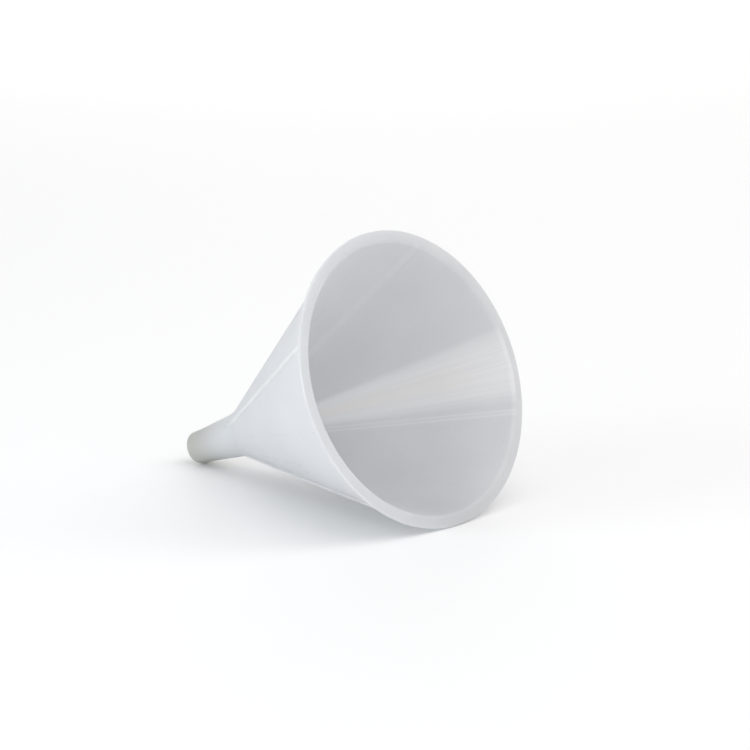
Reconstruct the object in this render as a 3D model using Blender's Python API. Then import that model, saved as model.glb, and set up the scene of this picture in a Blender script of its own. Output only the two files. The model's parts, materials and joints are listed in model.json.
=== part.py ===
"""A plain conical laboratory funnel, moulded in one piece of polypropylene.

It lies on its side, as such a funnel settles on a bench: on the back edge of its lip and the edge of its
stem's tip. The mouth opens towards +X and upwards, and the floor is z = 0. Lengths are in metres.
"""

import math

import bmesh
import bpy
from mathutils import Matrix, Vector

# The outside. Depths run back from the mouth plane, along the funnel's own axis.
LIP_OUTER_R = 0.0500
LIP_THICKNESS = 0.0011
CONE_MOUTH_R = 0.0487  # the cone's outside, carried on to the mouth plane
THROAT_R = 0.00784  # where the straight lines of cone and stem would meet
THROAT_DEPTH = 0.08265
SPIGOT_R = 0.00591  # the last stretch of the stem has a gentler taper
SPIGOT_DEPTH = 0.1011
TIP_R = 0.00556
TIP_DEPTH = 0.1070

# The inside follows the outside at these wall thicknesses, measured across the wall.
CONE_WALL = 0.0024
TIP_WALL = 0.0017

# Rounded corners.
LIP_EDGE_ROUND = 0.0003
UNDER_LIP_FILLET = 0.0006
MOUTH_EDGE_ROUND = 0.0008
THROAT_FILLET = 0.035
TIP_EDGE_ROUND = 0.0006

# Four vent ribs run down the outside of the cone.
RIB_COUNT = 4
FIRST_RIB_ANGLE = math.radians(65)  # from the top of the mouth, towards -Y
RIB_WIDTH = 0.00115
RIB_CREST_WIDTH = 0.0007
RIB_HEIGHT = 0.0006  # above the cone's surface
RIB_ROOT = 0.0009  # sunk into the wall
RIB_PAST_THROAT = 0.0006  # by here the throat's fillet has swallowed the rib

FACETS = 72  # round the axis. One facet is centred underneath, so the funnel doesn't roll
LARGE_ARC_STEPS = 6
SMALL_ARC_STEPS = 3
TINY_ARC_STEPS = 2

CONE_SLOPE = (CONE_MOUTH_R - THROAT_R) / THROAT_DEPTH
CONE_HALF_ANGLE = math.atan(CONE_SLOPE)


def clear_scene():
    for old in list(bpy.data.objects):
        bpy.data.objects.remove(old)


def polypropylene():
    material = bpy.data.materials.new("natural_polypropylene")
    material.use_nodes = True
    shader = material.node_tree.nodes["Principled BSDF"]
    shader.inputs["Base Color"].default_value = (0.62, 0.64, 0.66, 1.0)
    shader.inputs["Roughness"].default_value = 0.38
    shader.inputs["Metallic"].default_value = 0.0
    return material


def cone_radius(depth):
    """Radius of the cone's outside at a depth behind the mouth plane."""
    return CONE_MOUTH_R - depth * CONE_SLOPE


def rounded_corner(before, corner, after, radius, steps):
    """Points of the arc that touches both straight lines meeting at a corner."""
    if radius == 0:
        return [corner]
    back = (before - corner).normalized()
    ahead = (after - corner).normalized()
    half_opening = back.angle(ahead) / 2
    centre = corner + (back + ahead).normalized() * radius / math.sin(half_opening)
    start = corner + back * radius / math.tan(half_opening) - centre
    end = corner + ahead * radius / math.tan(half_opening) - centre
    sweep = start.angle(end)
    weights = [(math.sin(sweep * (1 - i / steps)), math.sin(sweep * i / steps)) for i in range(steps + 1)]
    return [centre + (start * first + end * second) / math.sin(sweep) for first, second in weights]


def wall_outline():
    """The wall's cross-section as (radius, height): down the outside, then up the inside."""
    cone_wall_across = CONE_WALL / math.cos(CONE_HALF_ANGLE)
    corners = [
        (LIP_OUTER_R, 0, LIP_EDGE_ROUND, TINY_ARC_STEPS),
        (LIP_OUTER_R, LIP_THICKNESS, LIP_EDGE_ROUND, TINY_ARC_STEPS),
        (cone_radius(LIP_THICKNESS), LIP_THICKNESS, UNDER_LIP_FILLET, TINY_ARC_STEPS),
        (THROAT_R, THROAT_DEPTH, THROAT_FILLET, LARGE_ARC_STEPS),
        (SPIGOT_R, SPIGOT_DEPTH, 0, 1),
        (TIP_R, TIP_DEPTH, TIP_EDGE_ROUND, SMALL_ARC_STEPS),
        (TIP_R - TIP_WALL, TIP_DEPTH, 0, 1),
        (THROAT_R - CONE_WALL, THROAT_DEPTH, THROAT_FILLET, LARGE_ARC_STEPS),
        (CONE_MOUTH_R - cone_wall_across, 0, MOUTH_EDGE_ROUND, SMALL_ARC_STEPS),
    ]
    places = [Vector((radius, -depth)) for radius, depth, _, _ in corners]
    outline = []
    for i, (_, _, rounding, steps) in enumerate(corners):
        after = places[(i + 1) % len(places)]
        outline += rounded_corner(places[i - 1], places[i], after, rounding, steps)
    return outline


def turned_wall(outline):
    """The cross-section as a closed loop of edges, which a Screw modifier turns round the Z axis."""
    bm = bmesh.new()
    loop = [bm.verts.new((point.x, 0, point.y)) for point in outline]
    for i, vert in enumerate(loop):
        bm.edges.new((loop[i - 1], vert))
    # Half a facet's turn puts the middle of a facet, and not a corner, in the plane of symmetry.
    bmesh.ops.rotate(bm, verts=loop, matrix=Matrix.Rotation(math.pi / FACETS, 3, "Z"))
    mesh = bpy.data.meshes.new("funnel_body")
    bm.to_mesh(mesh)
    bm.free()
    wall = bpy.data.objects.new("funnel_body", mesh)
    bpy.context.collection.objects.link(wall)

    turn = wall.modifiers.new("turn", "SCREW")
    turn.axis = "Z"
    turn.steps = FACETS
    turn.render_steps = FACETS
    turn.use_merge_vertices = True
    turn.merge_threshold = 0.00005
    return wall


def rib_shape(bm, angle):
    """One long rib, a trapezium in section, along a straight line of the cone."""
    along = Vector((math.sin(CONE_HALF_ANGLE), 0, math.cos(CONE_HALF_ANGLE)))
    outward = Vector((math.cos(CONE_HALF_ANGLE), 0, -math.sin(CONE_HALF_ANGLE)))
    start_depth = LIP_THICKNESS / 2
    end_depth = THROAT_DEPTH + RIB_PAST_THROAT
    section = [
        (-RIB_WIDTH / 2, -RIB_ROOT),
        (RIB_WIDTH / 2, -RIB_ROOT),
        (RIB_WIDTH / 2, 0),
        (RIB_CREST_WIDTH / 2, RIB_HEIGHT),
        (-RIB_CREST_WIDTH / 2, RIB_HEIGHT),
        (-RIB_WIDTH / 2, 0),
    ]
    low_end = Vector((cone_radius(end_depth), 0, -end_depth))
    corners = [low_end + Vector((0, side, 0)) + outward * height for side, height in section]
    face = bm.faces.new([bm.verts.new(corner) for corner in corners])
    length = (end_depth - start_depth) / math.cos(CONE_HALF_ANGLE)
    grown = bmesh.ops.extrude_face_region(bm, geom=[face], use_keep_orig=True)["geom"]
    far_end = [item for item in grown if isinstance(item, bmesh.types.BMVert)]
    bmesh.ops.translate(bm, verts=far_end, vec=along * length)
    rib = list({vert for vert in bm.verts if not vert.tag})
    bmesh.ops.rotate(bm, verts=rib, matrix=Matrix.Rotation(angle, 3, "Z"))
    for vert in rib:
        vert.tag = True


def rib_guide():
    """The four ribs as one hidden object, which a Boolean adds to the wall."""
    bm = bmesh.new()
    for i in range(RIB_COUNT):
        # The top of the mouth lies towards local -X, and -Y is the same in both frames.
        rib_shape(bm, math.pi + FIRST_RIB_ANGLE + i * math.tau / RIB_COUNT)
    bmesh.ops.recalc_face_normals(bm, faces=bm.faces)
    mesh = bpy.data.meshes.new("rib_guide")
    bm.to_mesh(mesh)
    bm.free()
    guide = bpy.data.objects.new("rib_guide", mesh)
    bpy.context.collection.objects.link(guide)
    guide.hide_render = True
    guide.display_type = "WIRE"
    return guide


def resting_slope(outline):
    """Slope of the floor against the axis: the line under the outline that its lip and its tip both touch."""
    lip = [point for point in outline if point.y > -2 * LIP_THICKNESS]
    tip = [point for point in outline if point.y < -THROAT_DEPTH]
    for high in lip:
        for low in tip:
            slope = (high.x - low.x) / (high.y - low.y)
            if all(point.x <= high.x + slope * (point.y - high.y) + 1e-9 for point in outline):
                return slope, high
    raise ValueError("the outline has no resting line")


def rest_on_floor(holder, outline):
    """Tips the upright funnel over on to its lip and tip, and centres it over the origin."""
    facet_share = math.cos(math.pi / FACETS)
    flat_outline = [Vector((point.x * facet_share, point.y)) for point in outline]
    slope, contact = resting_slope(flat_outline)
    # Upright, the axis is local +Z. It ends up pointing along +X and tilted up by this angle.
    lift = math.atan(slope)
    tip_over = Matrix.Rotation(math.pi / 2 - lift, 4, "Y")
    sides = [tip_over @ Vector((side * p.x, 0, p.y)) for p in flat_outline for side in (1, -1)]
    floor = (tip_over @ Vector((contact.x, 0, contact.y))).z
    middle = (min(p.x for p in sides) + max(p.x for p in sides)) / 2
    holder.matrix_world = Matrix.Translation((-middle, 0, -floor)) @ tip_over


def main():
    clear_scene()
    outline = wall_outline()
    wall = turned_wall(outline)
    wall.data.materials.append(polypropylene())
    guide = rib_guide()
    join = wall.modifiers.new("ribs", "BOOLEAN")
    join.operation = "UNION"
    join.object = guide

    holder = bpy.data.objects.new("funnel_axis", None)
    bpy.context.collection.objects.link(holder)
    wall.parent = holder
    guide.parent = holder
    rest_on_floor(holder, outline)


main()
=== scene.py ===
"""A plain conical laboratory funnel in milky polypropylene, lying on its lip and the tip of its stem."""

import json
import math

import bmesh
import bpy
from bpy.props import FloatProperty, FloatVectorProperty, IntProperty, PointerProperty
from bpy.types import Operator, Panel, PropertyGroup
from mathutils import Matrix, Vector

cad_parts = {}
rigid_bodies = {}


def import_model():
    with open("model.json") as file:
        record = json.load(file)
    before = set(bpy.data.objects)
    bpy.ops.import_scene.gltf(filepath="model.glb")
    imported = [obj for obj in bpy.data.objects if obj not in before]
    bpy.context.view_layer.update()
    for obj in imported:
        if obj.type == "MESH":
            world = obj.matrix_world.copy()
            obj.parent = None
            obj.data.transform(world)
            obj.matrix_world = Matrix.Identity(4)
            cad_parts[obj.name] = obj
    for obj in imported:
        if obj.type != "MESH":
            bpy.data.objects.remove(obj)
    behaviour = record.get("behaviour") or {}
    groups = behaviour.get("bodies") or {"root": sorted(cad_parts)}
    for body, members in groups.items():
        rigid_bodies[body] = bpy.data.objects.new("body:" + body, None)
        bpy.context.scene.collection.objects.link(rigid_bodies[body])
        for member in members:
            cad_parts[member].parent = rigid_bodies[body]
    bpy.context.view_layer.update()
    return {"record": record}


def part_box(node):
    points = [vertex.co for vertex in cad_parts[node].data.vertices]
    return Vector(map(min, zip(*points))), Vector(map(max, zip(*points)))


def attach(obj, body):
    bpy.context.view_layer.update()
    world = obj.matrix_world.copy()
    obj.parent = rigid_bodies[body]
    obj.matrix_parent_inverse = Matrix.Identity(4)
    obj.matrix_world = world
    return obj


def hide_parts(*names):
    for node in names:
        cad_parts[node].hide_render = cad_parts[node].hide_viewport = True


bl_info = {
    "name": "Laboratory funnel",
    "version": (1, 0, 0),
    "blender": (4, 5, 0),
    "location": "3D View > Sidebar > Funnel",
    "description": "Models a moulded conical funnel with vent ribs, its plastic and a plain studio",
    "category": "Add Mesh",
}

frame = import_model()

NODE = "funnel_body"
BODY = "root"
BOX_LOW, BOX_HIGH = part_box(NODE)
RIM_FACE = next(mount for mount in frame["record"]["mounts"] if mount["name"] == "rim_face")
MOUTH_AXIS = Vector(RIM_FACE["axis"])
MM = 0.001

# Mesh limits
SAME_PLACE = 1e-6  # metres within which two places on the section are one
CUT_THRESHOLD = 1e-7  # metres within which a cut snaps to a point that is there already
ALMOST_TOUCHING = 0.02 * MM
NO_LENGTH = 0.002 * MM
CLEAR_OF_FILLET = 1.5  # where the even rings start, in radii of the fillet under the lip
RIB_SLACK = 1.01  # takes in a rib's outermost line in spite of rounding
LIP_SLACK = 0.99  # and the ring at the lip's back
RIB_WINDOW = math.radians(14)  # faces this near a rib's direction may be cut for it
FLANK_STEPS = 6
CONE_RINGS = 12
LIP_STEPS, THROAT_STEPS, EDGE_STEPS, BORE_STEPS = 6, 28, 8, 3  # faces across each rounding
SMOOTH_BELOW = math.radians(40)

# Marks in the plastic. A mark's grain is in cells round the axis and cells per metre along it.
NOISE_MIDDLE = 0.5
SWEEP_AROUND, SWEEP_ALONG = 14.0, 9.0
HAIRS_AROUND, HAIRS_ALONG = 110.0, 16.0
CLOUD_SCALE, HAZE_SCALE = 60.0, 900.0
FAN_RAGGED, CORE_RAGGED = 0.10, 0.14  # how far the sweeping marks move the fan's sides, in radians
FAN_SOFT = 0.08  # half the width over which the fan's sides fade, in radians
CORE_PART = 0.7  # the warm core's width beside the fan's
LINES_START, LINES_FULL = 1.0, 0.5  # radians from the fan's middle at which the painted highlight lines on a rib's edges fade in
WARM_START, WARM_FULL = 4 * MM, 22 * MM  # depths between which the warm painted highlight in the fan's middle fades in
STREAK_LEAST, STREAK_RANGE = 0.2, 1.6
CREST_END, CREST_FULL = 2 * MM, 6 * MM  # past the throat and before it, where the painted highlight on a crest fades out
INNER_FADE = 0.6  # marks inside are at their full strength above this part of the throat's depth
CREST_SIDE, CREST_TOP = 0.6, 0.4  # parts of the foot's and crest's widths between which the painted highlight on a crest fades in
TIP_SHADE_START = 2 * MM  # past the throat, where the painted shade on the stem starts
ROUGHNESS_RANGE = 0.10
HAIR_RELIEF, HAZE_RELIEF, RELIEF_STRENGTH, RELIEF_DEPTH = 0.7, 0.3, 0.10, 0.1 * MM
REFRACTION = 1.49
INNER_HALF = 0.6  # a point deeper than this part of the wall is on its inside


def length(name, millimetres, description):
    """A length property whose default is given in millimetres."""
    return FloatProperty(
        name=name,
        description=description,
        default=millimetres * MM,
        min=0.0,
        precision=5,
        unit="LENGTH",
    )


def tint(name, colour, description):
    return FloatVectorProperty(
        name=name,
        description=description,
        default=colour,
        size=3,
        min=0.0,
        max=1.0,
        subtype="COLOR",
    )


def share(name, amount, description):
    return FloatProperty(
        name=name, description=description, default=amount, min=0.0, max=1.0, subtype="FACTOR"
    )


def turn(name, degrees, description):
    """An angle property whose default is given in degrees."""
    return FloatProperty(
        name=name, description=description, default=math.radians(degrees), subtype="ANGLE"
    )


class FunnelShape(PropertyGroup):
    lip_radius: length("Lip radius", 50.0, "Outside of the lip")
    lip_thickness: length("Lip thickness", 1.1, "From the lip's flat face to its back")
    cone_radius: length("Cone radius", 48.7, "Outside of the cone, carried on to the mouth plane")
    throat_radius: length("Throat radius", 7.84, "Outside, where the lines of cone and stem would meet")
    throat_depth: length("Throat depth", 82.65, "From the mouth plane to the throat")
    spigot_radius: length("Spigot radius", 5.91, "Outside, where the stem's taper eases")
    spigot_depth: length("Spigot depth", 101.1, "From the mouth plane to where the taper eases")
    tip_radius: length("Tip radius", 5.56, "Outside of the stem's end")
    tip_depth: length("Tip depth", 107.0, "From the mouth plane to the stem's end")
    cone_wall: length("Cone wall", 2.4, "Thickness across the cone's wall")
    tip_wall: length("Tip wall", 1.7, "Thickness of the wall at the stem's end")
    lip_round: length("Lip edge", 0.32, "Radius on the lip's two outer edges")
    under_lip_fillet: length("Under the lip", 0.6, "Fillet between the lip's back and the cone")
    mouth_round: length("Mouth edge", 1.5, "Radius where the lip's face turns into the cone")
    throat_fillet: length("Throat fillet", 22.0, "Radius of the curve from cone to stem")
    tip_round: length("Tip edge", 0.6, "Radius on the stem's end outside")
    bore_round: length("Bore edge", 0.15, "Radius on the stem's end inside")
    columns: IntProperty(name="Columns", description="Faces round the axis", default=192, min=24)


class FunnelRibs(PropertyGroup):
    count: IntProperty(name="Ribs", description="Vent ribs down the cone", default=4, min=1)
    first_angle: turn("First rib", 65.0, "Turn from the top of the mouth towards -Y")
    height: length("Rib height", 0.6, "How far a rib stands out of the cone")
    crest_width: length("Crest width", 0.7, "Flat along the top of a rib")
    foot_width: length("Foot width", 1.5, "Width of a rib where it runs out into the cone")
    # The two pale lines are painted highlights along a rib's edges, seen inside.
    glint_spacing: length("Edge spacing", 1.4, "Between the two pale lines where a rib's edges show inside")
    edge_width: length("Edge width", 0.5, "Width of each of those pale lines")
    # The faint pale stripe inside behind each rib is painted light coming through the rib.
    painted_glow_width: length("Glow width", 4.2, "Width of the faint pale stripe that a thicker wall gives inside")
    painted_glow_share: share("Glow", 0.16, "How pale that stripe is")
    # Strength of the painted highlight lines on a rib's edges.
    glint_share: share("Edges", 0.6, "How pale the two lines are")
    # A rib's paler crest outside is a painted highlight.
    crest_highlight_share: share("Crest", 0.5, "How pale a rib's crest is outside")


class FunnelPlastic(PropertyGroup):
    colour: tint("Colour", (0.78, 0.785, 0.795), "Natural polypropylene in the body of the wall")
    # Paler tone of the plastic in its clouds and marks, and also the colour that carries the painted light
    # on the ribs.
    pale_and_lit_colour: tint("Pale colour", (0.94, 0.94, 0.945), "Where the plastic is thicker or has whitened")
    # Colour of a painted highlight: the fan inside the cone where a lamp's reflection is painted.
    highlight_colour: tint("Flow colour", (0.94, 0.94, 0.945), "The fan of flow marks inside")
    # Colour of the warm painted highlight in that fan's middle.
    warm_highlight_colour: tint("Warm colour", (0.95, 0.925, 0.905), "The middle of that fan, away from the lip")
    # Colour of the painted shade on the stem towards its end.
    tip_shade_colour: tint("Tip colour", (0.63, 0.63, 0.60), "The stem's end, dulled by use")
    paleness: share("Paleness", 0.12, "How far all of the wall is towards the pale colour")
    cloud_share: share("Clouding", 0.35, "Strength of the broad clouds")
    haze_share: share("Haze", 0.12, "Strength of the fine haze")
    hair_share: share("Hairs", 0.14, "Strength of the fine marks along the cone")
    # Strength of the painted highlight fan.
    highlight_share: share("Flow", 0.85, "Strength of the fan of flow marks")
    # Strength of the fan's warm painted highlight.
    warm_highlight_share: share("Warmth", 0.8, "Strength of the fan's warm middle")
    through: share("Through", 0.5, "Share of the light that passes through the skin")
    roughness: share("Roughness", 0.30, "Roughness of the moulded skin")
    scatter_depth: length("Scatter depth", 1.5, "How far light spreads inside the plastic")
    # Middle and half width of the painted highlight fan.
    highlight_angle: turn("Flow angle", 265.5, "Middle of the fan, from the mouth's top towards -Y")
    highlight_spread: turn("Flow spread", 14.0, "Half the fan's width")


class FunnelStage(PropertyGroup):
    floor_colour: tint("Floor", (0.92, 0.92, 0.92), "Plain pale floor")
    world_strength: FloatProperty(
        name="World strength", description="Light from all round", default=0.6, min=0.0
    )
    azimuth: turn("Camera azimuth", 42.44, "Turn round the object, from -Y towards +X")
    elevation: turn("Camera elevation", 14.30, "Height angle above the floor")
    distance: length("Camera distance", 1666.7, "From the mouth's centre")
    lens: FloatProperty(
        name="Lens", description="Focal length in mm on a 36 mm sensor", default=244.9, min=1.0
    )
    aside: length("Aside", 12.58, "Mouth centre to the right of the view's middle")
    below: length("Below", 1.33, "Mouth centre below the view's middle")


# ---------------------------------------------------------------- mesh helpers


def deselect_objects():
    """Leaves no object selected, so that an operator changes only what is selected after it."""
    for other in bpy.context.view_layer.objects:
        other.select_set(False)


def select_faces(test):
    """In edit mode, selects just the faces that pass the test."""
    mesh = bpy.context.edit_object.data
    bm = bmesh.from_edit_mesh(mesh)
    bpy.ops.mesh.select_all(action="DESELECT")
    for face in filter(test, bm.faces):
        face.select = True
    bmesh.update_edit_mesh(mesh)


def select_ring(*places):
    """In edit mode, selects the edges of the rings at these (radius, depth) places."""
    mesh = bpy.context.edit_object.data
    bm = bmesh.from_edit_mesh(mesh)
    bpy.ops.mesh.select_all(action="DESELECT")
    for edge in bm.edges:
        ends = [(vert.co.xy.length, -vert.co.z) for vert in edge.verts]
        if any(all(math.dist(end, place) < SAME_PLACE for end in ends) for place in places):
            edge.select = True
    bmesh.update_edit_mesh(mesh)


def cut(point, normal):
    """In edit mode, adds a line of edges where a plane crosses the selected faces."""
    bpy.ops.mesh.bisect(plane_co=point, plane_no=normal, use_fill=False, threshold=CUT_THRESHOLD)


def smoothstep(value):
    clamped = min(max(value, 0.0), 1.0)
    return clamped * clamped * (3 - 2 * clamped)


# ---------------------------------------------------------------- the moulding


class Outline:
    """The wall's cross-section as corners of (radius, depth, rounding, steps), outside then inside."""

    HOLD = 0.25 * MM  # a ring this far from a rounded edge keeps the flat beside it flat
    THROAT = 3  # the outer throat's place among the corners

    def __init__(self, shape):
        self.slope = (shape.cone_radius - shape.throat_radius) / shape.throat_depth
        self.half_angle = math.atan(self.slope)
        self.shape = shape
        inner_mouth = shape.cone_radius - shape.cone_wall / math.cos(self.half_angle)
        under_lip = self.outer_cone(shape.lip_thickness)
        self.corners = [
            (shape.lip_radius, 0.0, shape.lip_round, LIP_STEPS),
            (shape.lip_radius, shape.lip_thickness, shape.lip_round, LIP_STEPS),
            (under_lip, shape.lip_thickness, shape.under_lip_fillet, LIP_STEPS),
            (shape.throat_radius, shape.throat_depth, shape.throat_fillet, THROAT_STEPS),
            (shape.spigot_radius, shape.spigot_depth, 0.0, 0),
            (shape.tip_radius, shape.tip_depth, shape.tip_round, EDGE_STEPS),
            (shape.tip_radius - shape.tip_wall, shape.tip_depth, shape.bore_round, BORE_STEPS),
            (shape.throat_radius - shape.cone_wall, shape.throat_depth, shape.throat_fillet, THROAT_STEPS),
            (inner_mouth, 0.0, shape.mouth_round, EDGE_STEPS),
            (inner_mouth + shape.mouth_round, 0.0, 0.0, 0),
            (shape.lip_radius - shape.lip_round - self.HOLD, 0.0, 0.0, 0),
        ]

    def outer_cone(self, depth):
        return self.shape.cone_radius - depth * self.slope

    def tangent_length(self, index):
        """How far a corner's rounding reaches along the lines on both sides of it."""
        radius, depth, rounding, _ = self.corners[index]
        here = Vector((radius, depth))
        before = Vector(self.corners[index - 1][:2])
        after = Vector(self.corners[(index + 1) % len(self.corners)][:2])
        bend = (here - before).angle(after - here)
        return rounding * math.tan(bend / 2)


def extrude_rings(outline, columns):
    """Draws the lip's outer edge as a circle, then pulls it ring by ring round the whole section."""
    corners = outline.corners
    radius, depth, _, _ = corners[0]
    bpy.ops.mesh.primitive_circle_add(
        vertices=columns, radius=radius, fill_type="NOTHING", location=(0, 0, 0)
    )
    wall = bpy.context.object
    bpy.ops.object.mode_set(mode="EDIT")
    bpy.ops.mesh.select_all(action="SELECT")
    for next_radius, next_depth, _, _ in corners[1:]:
        drop = {"value": (0, 0, depth - next_depth)}
        bpy.ops.mesh.extrude_edges_move(TRANSFORM_OT_translate=drop)
        ratio = next_radius / radius
        bpy.ops.transform.resize(value=(ratio, ratio, 1), center_override=(0, 0, -next_depth))
        radius, depth = next_radius, next_depth
    select_ring(corners[0][:2], corners[-1][:2])
    bpy.ops.mesh.bridge_edge_loops()
    bpy.ops.mesh.select_all(action="SELECT")
    bpy.ops.mesh.normals_make_consistent(inside=False)
    return wall


def round_corners(outline):
    """Bevels each ring that has a rounding."""
    for index, (radius, depth, rounding, steps) in enumerate(outline.corners):
        if rounding == 0.0:
            continue
        select_ring((radius, depth))
        bpy.ops.mesh.bevel(
            offset_type="OFFSET",
            offset=outline.tangent_length(index),
            segments=steps,
            profile=0.5,
            affect="EDGES",
        )


def cut_cone_rings(outline):
    """Rings across the cone and the stem, close beside each rounding and evenly in between."""
    shape = outline.shape
    throat_reach = outline.tangent_length(outline.THROAT)
    cone_top = shape.lip_thickness + CLEAR_OF_FILLET * shape.under_lip_fillet
    cone_end = shape.throat_depth - throat_reach
    even = [cone_top + (cone_end - cone_top) * i / CONE_RINGS for i in range(CONE_RINGS + 1)]
    stem_start = shape.throat_depth + throat_reach + outline.HOLD
    stem_end = shape.tip_depth - shape.tip_round - outline.HOLD
    for depth in even + [stem_start, stem_end]:
        select_faces(lambda face: True)
        cut((0, 0, -depth), (0, 0, 1))


def rib_directions(ribs):
    """Each rib's direction out from the axis, in the upright frame whose -X becomes the mouth's top."""
    for i in range(ribs.count):
        angle = math.pi + ribs.first_angle + i * math.tau / ribs.count
        yield Vector((math.cos(angle), math.sin(angle), 0))


def rib_lines(ribs):
    """Distances from a rib's middle at which it is cut: its middle, then evenly down each flank."""
    crest, foot = ribs.crest_width / 2, ribs.foot_width / 2
    flank = [crest + (foot - crest) * i / FLANK_STEPS for i in range(FLANK_STEPS + 1)]
    return [-side for side in reversed(flank)] + [0.0] + flank


def cut_rib_lines(outline, ribs):
    """Straight lines down the outside of the cone, as close together as each rib's section needs."""
    shape = outline.shape
    top = -shape.lip_thickness / 2
    bottom = -(shape.throat_depth + outline.tangent_length(outline.THROAT))
    window = math.cos(RIB_WINDOW)

    def beside(out):
        def test(face):
            middle = face.calc_center_median()
            outside = middle.xy.length > outline.outer_cone(-middle.z) - shape.cone_wall / 2
            beside_it = middle.xy.normalized().dot(out.xy) > window
            return bottom < middle.z < top and outside and beside_it

        return test

    for out in rib_directions(ribs):
        side = Vector((-out.y, out.x, 0))
        for distance in rib_lines(ribs):
            select_faces(beside(out))
            cut(side * distance, side)


def tidy_mesh():
    """In edit mode, joins points that the cuts left almost touching and splits faces with many corners."""
    bpy.ops.mesh.select_all(action="SELECT")
    bpy.ops.mesh.remove_doubles(threshold=ALMOST_TOUCHING)
    bpy.ops.mesh.dissolve_degenerate(threshold=NO_LENGTH)
    select_faces(lambda face: len(face.verts) > 4)
    bpy.ops.mesh.quads_convert_to_tris(ngon_method="BEAUTY")
    bpy.ops.mesh.select_all(action="SELECT")
    bpy.ops.mesh.normals_make_consistent(inside=False)


def raise_ribs(wall, outline, ribs):
    """Moves the outside of the wall out into ribs."""
    shape = outline.shape
    # Square to the cone: how far out from the axis, and how far towards the tip.
    square = Vector((math.cos(outline.half_angle), math.sin(outline.half_angle)))
    crest, foot = ribs.crest_width / 2, ribs.foot_width / 2
    top = shape.lip_thickness * LIP_SLACK
    bottom = shape.throat_depth + outline.tangent_length(outline.THROAT)
    directions = list(rib_directions(ribs))
    for vert in wall.data.vertices:
        depth, radius = -vert.co.z, vert.co.xy.length
        out = max(directions, key=vert.co.dot)
        aside = abs(vert.co.dot(Vector((-out.y, out.x, 0))))
        if not top < depth < bottom or vert.co.dot(out) < 0 or aside > foot * RIB_SLACK:
            continue
        swell = smoothstep((foot - aside) / (foot - crest))
        stand_off = (radius - outline.outer_cone(depth)) * square.x
        if stand_off > -shape.cone_wall / 2:
            normal = out * square.x - Vector((0, 0, square.y))
            vert.co += normal * max(0.0, ribs.height * swell - max(0.0, stand_off))


def lay_down(wall):
    """Tips the upright mesh on to its lip and tip, on the floor, in the middle of the CAD box."""
    upright_to_row = Vector((0, 0, 1)).rotation_difference(MOUTH_AXIS).to_matrix().to_4x4()
    wall.data.transform(upright_to_row)
    lowest = min(vert.co.z for vert in wall.data.vertices)
    xs = [vert.co.x for vert in wall.data.vertices]
    shift = Vector(((BOX_LOW.x + BOX_HIGH.x - min(xs) - max(xs)) / 2, 0, BOX_LOW.z - lowest))
    wall.data.transform(Matrix.Translation(shift))
    return Matrix.Translation(shift) @ upright_to_row


# ---------------------------------------------------------------- shader helpers


class Value:
    """A shader socket that can be used in arithmetic. Each operation adds a Math node."""

    def __init__(self, tree, socket):
        self.tree = tree
        self.socket = socket

    def math(self, operation, *others):
        node = self.tree.nodes.new("ShaderNodeMath")
        node.operation = operation
        for slot, item in zip(node.inputs, (self, *others)):
            if isinstance(item, Value):
                self.tree.links.new(item.socket, slot)
            else:
                slot.default_value = item
        return Value(self.tree, node.outputs[0])

    def __add__(self, other):
        return self.math("ADD", other)

    def __sub__(self, other):
        return self.math("SUBTRACT", other)

    def __mul__(self, other):
        return self.math("MULTIPLY", other)

    def __truediv__(self, other):
        return self.math("DIVIDE", other)

    def __radd__(self, other):
        return self.math("ADD", other)

    def __rmul__(self, other):
        return self.math("MULTIPLY", other)

    def __rsub__(self, other):
        return self.math("MULTIPLY", -1.0).math("ADD", other)


class Shader:
    """Builds one material's node tree."""

    def __init__(self, name):
        self.material = bpy.data.materials.new(name)
        self.material.use_nodes = True
        self.tree = self.material.node_tree
        self.principled = self.tree.nodes["Principled BSDF"]
        self.output = self.tree.nodes["Material Output"]

    def node(self, kind, settings=None, inputs=None, output=0):
        """Adds a node, sets its settings, then the values or links of its sockets."""
        node = self.tree.nodes.new(kind)
        for key, value in (settings or {}).items():
            setattr(node, key, value)
        for key, value in (inputs or {}).items():
            self.feed(node.inputs[key], value)
        return Value(self.tree, node.outputs[output])

    def feed(self, socket, value):
        if isinstance(value, Value):
            self.tree.links.new(value.socket, socket)
        else:
            socket.default_value = value

    def set(self, **inputs):
        """Sets the Principled shader's sockets, with _ for a space in a name."""
        for key, value in inputs.items():
            self.feed(self.principled.inputs[key.replace("_", " ")], value)

    def axes(self, vector):
        """The three coordinates of a vector, as values."""
        node = self.tree.nodes.new("ShaderNodeSeparateXYZ")
        self.feed(node.inputs[0], vector)
        return [Value(self.tree, socket) for socket in node.outputs]

    def vector(self, x, y, z):
        return self.node("ShaderNodeCombineXYZ", inputs={0: x, 1: y, 2: z})

    def noise(self, vector, scale, detail=2.0, roughness=0.5):
        inputs = {"Vector": vector, "Scale": scale, "Detail": detail, "Roughness": roughness}
        return self.node("ShaderNodeTexNoise", inputs=inputs)

    def ramp(self, value, start, end):
        """0 before start and 1 past end, eased at both. start may be the greater one."""
        inputs = {"Value": value, "From Min": start, "From Max": end}
        return self.node("ShaderNodeMapRange", {"interpolation_type": "SMOOTHSTEP"}, inputs)

    def clamp(self, value):
        return self.node("ShaderNodeClamp", inputs={"Value": value})

    def mix(self, factor, first, second):
        """A colour mix. Sockets 6 and 7 are the node's two colours, and output 2 is its colour."""
        return self.node("ShaderNodeMix", {"data_type": "RGBA"}, {0: factor, 6: first, 7: second}, 2)


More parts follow.
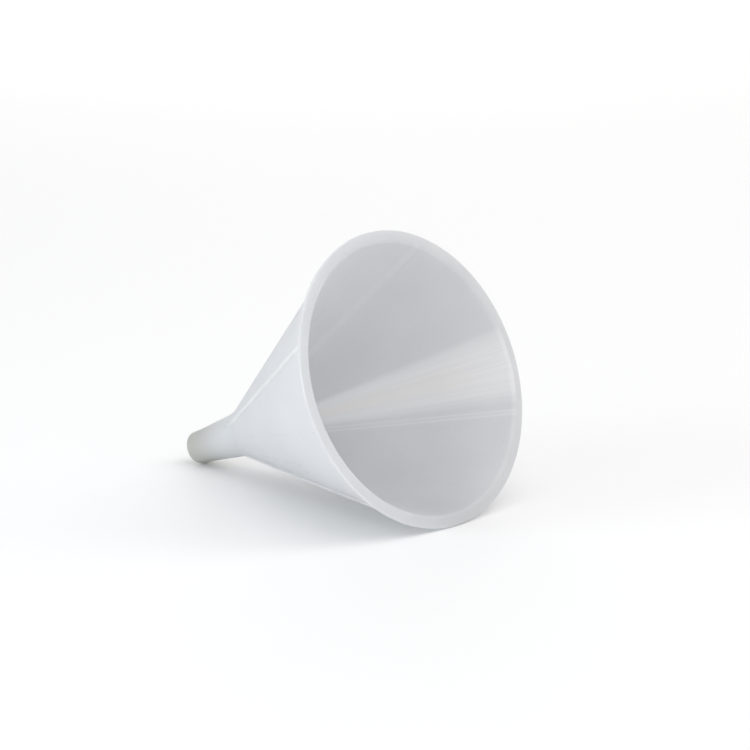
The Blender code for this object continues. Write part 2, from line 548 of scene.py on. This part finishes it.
class Wall:
    """Where a point of the surface lies on the upright funnel, as shader values."""

    def __init__(self, shader, shape, row_to_upright):
        place = shader.node("ShaderNodeTexCoord", output="Object")
        turned = {"Location": row_to_upright.translation, "Rotation": row_to_upright.to_euler()}
        self.point = shader.node("ShaderNodeMapping", {"vector_type": "POINT"}, {"Vector": place, **turned})
        x, y, self.height = shader.axes(self.point)
        self.radius = (x * x + y * y).math("SQRT")
        self.angle = (y * -1).math("ARCTAN2", x * -1)
        self.out_x, self.out_y = x / self.radius, y / self.radius
        slope = (shape.cone_radius - shape.throat_radius) / shape.throat_depth
        inner_limit = shape.cone_radius - INNER_HALF * shape.cone_wall
        self.inside = (self.radius - self.height * slope).math("LESS_THAN", inner_limit)


def rib_painted_light(shader, wall, shape, ribs, highlight_turn):
    """Painted light on the ribs: a faint pale stripe inside behind each rib where light through it is
    painted, two painted highlight lines along its edges inside, and a painted highlight along its crest
    outside.
    """
    # How far a point is to the side of the nearest rib.
    from_rib = (wall.angle - ribs.first_angle).math("PINGPONG", math.pi / ribs.count)
    aside = from_rib.math("SINE") * wall.radius

    throat = -shape.throat_depth
    inside_cone = wall.inside * shader.ramp(wall.height, throat, INNER_FADE * throat)
    # Painted light: a faint pale stripe inside behind each rib.
    painted_glow = shader.ramp(aside, ribs.painted_glow_width / 2, 0.0) * inside_cone
    # Two painted highlight lines along a rib's edges, shown only beside the painted highlight fan.
    near_highlight = shader.ramp((wall.angle - highlight_turn).math("ABSOLUTE"), LINES_START, LINES_FULL)
    edge = (aside - ribs.glint_spacing / 2).math("ABSOLUTE")
    edges = shader.ramp(edge, ribs.edge_width / 2, 0.0) * inside_cone * near_highlight

    # Painted highlight along each rib's crest outside, faded out under the lip and at the throat.
    under_lip = shader.ramp(wall.height, -shape.lip_thickness, -2 * shape.lip_thickness)
    above_throat = shader.ramp(wall.height, throat - CREST_END, throat + CREST_FULL)
    on_crest = shader.ramp(aside, ribs.foot_width * CREST_SIDE, ribs.crest_width * CREST_TOP)
    crest = on_crest * under_lip * above_throat * (1 - wall.inside)
    return painted_glow * ribs.painted_glow_share + edges * ribs.glint_share + crest * ribs.crest_highlight_share


def polypropylene(plastic, shape, ribs, row_to_upright):
    """Milky plastic that light passes through, with ribs, clouding and fine wear, painted highlights along
    the ribs and in a fan inside the cone, and painted shade on the stem towards its end.
    """
    shader = Shader("natural_polypropylene")
    wall = Wall(shader, shape, row_to_upright)
    highlight_turn = plastic.highlight_angle - math.tau  # as the shader's angle runs from -180 to 180 degrees

    # Marks that run from the gate to the lip are thin across the cone and long down it.
    swept = shader.vector(wall.out_x * SWEEP_AROUND, wall.out_y * SWEEP_AROUND, wall.height * SWEEP_ALONG)
    sweep = shader.noise(swept, 1.0, detail=3.0, roughness=0.6)
    combed = shader.vector(
        wall.out_x * HAIRS_AROUND, wall.out_y * HAIRS_AROUND, wall.height * HAIRS_ALONG + wall.inside
    )
    hairs = shader.noise(combed, 1.0, detail=2.0)
    cloud = shader.noise(wall.point, CLOUD_SCALE, detail=3.0)
    haze = shader.noise(wall.point, HAZE_SCALE, detail=3.0, roughness=0.6)

    # The painted highlight fan inside has ragged sides, and a warmer painted highlight in its middle away
    # from the lip.
    spread = plastic.highlight_spread
    off_highlight = (wall.angle - highlight_turn).math("ABSOLUTE")
    waver = sweep - NOISE_MIDDLE
    fan = shader.ramp(off_highlight + waver * FAN_RAGGED, spread + FAN_SOFT, spread - FAN_SOFT)
    core = shader.ramp(off_highlight + waver * CORE_RAGGED, spread * CORE_PART, 0.0)
    streaks = (hairs * STREAK_RANGE + STREAK_LEAST) * wall.inside
    highlight = fan * streaks
    warm = core * streaks * shader.ramp(wall.height, -WARM_START, -WARM_FULL)

    # Paleness carries the painted light on the ribs and the plastic's own clouding, haze and marks.
    pale = rib_painted_light(shader, wall, shape, ribs, highlight_turn) + plastic.paleness
    for marks, amount in (
        (cloud, plastic.cloud_share), (haze, plastic.haze_share), (hairs, plastic.hair_share)
    ):
        pale = pale + (marks - NOISE_MIDDLE) * amount
    # Painted shade: the stem darkens from just past the throat to its end.
    tip_shade = shader.ramp(wall.height, -shape.throat_depth - TIP_SHADE_START, -shape.tip_depth)
    colour = shader.mix(shader.clamp(pale), (*plastic.colour, 1), (*plastic.pale_and_lit_colour, 1))
    # Painted highlight: the fan inside.
    colour = shader.mix(shader.clamp(highlight * plastic.highlight_share), colour, (*plastic.highlight_colour, 1))
    # Painted highlight: the fan's warm middle.
    colour = shader.mix(shader.clamp(warm * plastic.warm_highlight_share), colour, (*plastic.warm_highlight_colour, 1))
    # Painted shade on the stem.
    colour = shader.mix(tip_shade, colour, (*plastic.tip_shade_colour, 1))

    relief = hairs * HAIR_RELIEF + haze * HAZE_RELIEF
    grain = {"Height": relief, "Strength": RELIEF_STRENGTH, "Distance": RELIEF_DEPTH}
    uneven = (haze - NOISE_MIDDLE + waver) * ROUGHNESS_RANGE
    shader.set(
        Base_Color=colour,
        Roughness=uneven + plastic.roughness,
        IOR=REFRACTION,
        Subsurface_Weight=1.0,
        Subsurface_Radius=(1.0, 1.0, 1.0),
        Subsurface_Scale=plastic.scatter_depth,
        Normal=shader.node("ShaderNodeBump", inputs=grain),
    )
    through = shader.node("ShaderNodeBsdfTranslucent", inputs={"Color": colour})
    skin = Value(shader.tree, shader.principled.outputs[0])
    milky = shader.node("ShaderNodeMixShader", inputs={0: plastic.through, 1: skin, 2: through})
    shader.feed(shader.output.inputs["Surface"], milky)
    return shader.material


class FUNNEL_OT_moulding(Operator):
    """Model the funnel's one-piece wall with its lip, ribs, throat and stem"""

    bl_idname = "funnel.moulding"
    bl_label = "Funnel Moulding"

    def execute(self, context):
        shape, ribs = context.scene.funnel_shape, context.scene.funnel_ribs
        deselect_objects()
        outline = Outline(shape)
        wall = extrude_rings(outline, shape.columns)
        wall.name = wall.data.name = "funnel_moulding"
        round_corners(outline)
        cut_cone_rings(outline)
        cut_rib_lines(outline, ribs)
        tidy_mesh()
        bpy.ops.object.mode_set(mode="OBJECT")
        raise_ribs(wall, outline, ribs)
        upright_to_row = lay_down(wall)
        bpy.ops.object.shade_smooth_by_angle(angle=SMOOTH_BELOW)
        plastic = context.scene.funnel_plastic
        wall.data.materials.append(polypropylene(plastic, shape, ribs, upright_to_row.inverted()))
        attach(wall, BODY)
        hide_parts(NODE)
        return {"FINISHED"}


# ---------------------------------------------------------------- the stage


# Each softbox: azimuth, elevation, distance, width, height, strength and colour.
# Azimuth 0 is towards -Y and 90 towards +X.
SOFTBOXES = {
    "overhead": (0, 88, 1.3, 0.9, 0.9, 0.8, (1.0, 1.0, 1.0)),
    "above_camera": (65, 48, 1.3, 0.9, 0.9, 1.1, (0.97, 0.97, 1.0)),
    "left_low": (-24, 7, 1.2, 0.65, 0.32, 11.5, (0.84, 0.94, 1.0)),
    "left_behind": (-135, 14, 1.3, 0.8, 0.8, 1.7, (1.0, 0.99, 0.98)),
    "right_behind": (135, 48, 1.3, 0.9, 0.9, 1.6, (1.0, 0.98, 0.96)),
    "strip": (7, 10, 1.2, 0.22, 0.34, 3.4, (0.98, 0.97, 1.0)),
}


FLOOR_RADIUS = 12.0
CLIP_END = 100.0  # well past the floor's far edge


def softbox(name, azimuth, elevation, distance, width, height, strength, colour):
    """A soft rectangular light that faces the object. Strength is how bright its face is."""
    data = bpy.data.lights.new(name, "AREA")
    data.shape = "RECTANGLE"
    data.size, data.size_y = width, height
    data.energy = strength * math.pi * width * height
    data.color = colour
    lamp = bpy.data.objects.new(name, data)
    bpy.context.scene.collection.objects.link(lamp)
    swing, lift = math.radians(azimuth), math.radians(elevation)
    aim = Vector((0, 0, BOX_HIGH.z / 2))
    away = Vector((math.sin(swing) * math.cos(lift), -math.cos(swing) * math.cos(lift), math.sin(lift)))
    lamp.location = aim + away * distance
    lamp.rotation_euler = (-away).to_track_quat("-Z", "Y").to_euler()


class FUNNEL_OT_stage(Operator):
    """Add the pale floor, the soft studio light and the camera"""

    bl_idname = "funnel.stage"
    bl_label = "Funnel Stage"

    def execute(self, context):
        stage = context.scene.funnel_stage
        deselect_objects()
        bpy.ops.mesh.primitive_circle_add(
            vertices=96, radius=FLOOR_RADIUS, fill_type="NGON", location=(0, 0, 0)
        )
        floor = context.object
        floor.name = floor.data.name = "floor"
        paint = Shader("floor_paint")
        paint.set(Base_Color=(*stage.floor_colour, 1), Roughness=0.9, Specular_IOR_Level=0.2)
        floor.data.materials.append(paint.material)

        world = bpy.data.worlds.new("studio")
        world.use_nodes = True
        background = world.node_tree.nodes["Background"]
        background.inputs["Color"].default_value = (1, 1, 1, 1)
        background.inputs["Strength"].default_value = stage.world_strength
        context.scene.world = world
        context.scene.view_settings.view_transform = "Standard"

        for name, settings in SOFTBOXES.items():
            softbox(name, *settings)

        azimuth, elevation = stage.azimuth, stage.elevation
        right = Vector((math.cos(azimuth), math.sin(azimuth), 0))
        forward = Vector((
            -math.cos(elevation) * math.sin(azimuth),
            math.cos(elevation) * math.cos(azimuth),
            -math.sin(elevation),
        ))
        up = right.cross(forward)
        mouth = mouth_centre()
        data = bpy.data.cameras.new("camera")
        data.lens = stage.lens
        data.clip_end = CLIP_END
        camera = bpy.data.objects.new("camera", data)
        context.scene.collection.objects.link(camera)
        camera.rotation_euler = Matrix((right, up, -forward)).transposed().to_euler()
        camera.location = mouth - right * stage.aside + up * stage.below - forward * stage.distance
        context.scene.camera = camera
        return {"FINISHED"}


def mouth_centre():
    """The middle of the mouth plane in the row frame."""
    # Half the box's width across the axis is the lip's radius, and the lip's highest point is BOX_HIGH.z.
    up_mouth = Vector((-MOUTH_AXIS.z, 0, MOUTH_AXIS.x))
    rim = Vector(RIM_FACE["pos_m"])
    top = rim + up_mouth * ((BOX_HIGH.z - rim.z) / up_mouth.z)
    return top - up_mouth * (BOX_HIGH.y - BOX_LOW.y) / 2


class FUNNEL_PT_sidebar(Panel):
    bl_label = "Funnel"
    bl_idname = "FUNNEL_PT_sidebar"
    bl_space_type = "VIEW_3D"
    bl_region_type = "UI"
    bl_category = "Funnel"

    def draw(self, context):
        for operator in OPERATORS:
            self.layout.operator(operator.bl_idname)


GROUPS = {
    "funnel_shape": FunnelShape,
    "funnel_ribs": FunnelRibs,
    "funnel_plastic": FunnelPlastic,
    "funnel_stage": FunnelStage,
}
OPERATORS = (FUNNEL_OT_moulding, FUNNEL_OT_stage)


def register():
    for name, group in GROUPS.items():
        bpy.utils.register_class(group)
        setattr(bpy.types.Scene, name, PointerProperty(type=group))
    for item in (*OPERATORS, FUNNEL_PT_sidebar):
        bpy.utils.register_class(item)


def unregister():
    for item in reversed((*OPERATORS, FUNNEL_PT_sidebar)):
        bpy.utils.unregister_class(item)
    for name, group in GROUPS.items():
        delattr(bpy.types.Scene, name)
        bpy.utils.unregister_class(group)


def main():
    register()
    bpy.ops.funnel.moulding()
    bpy.ops.funnel.stage()


if __name__ == "__main__":
    main()
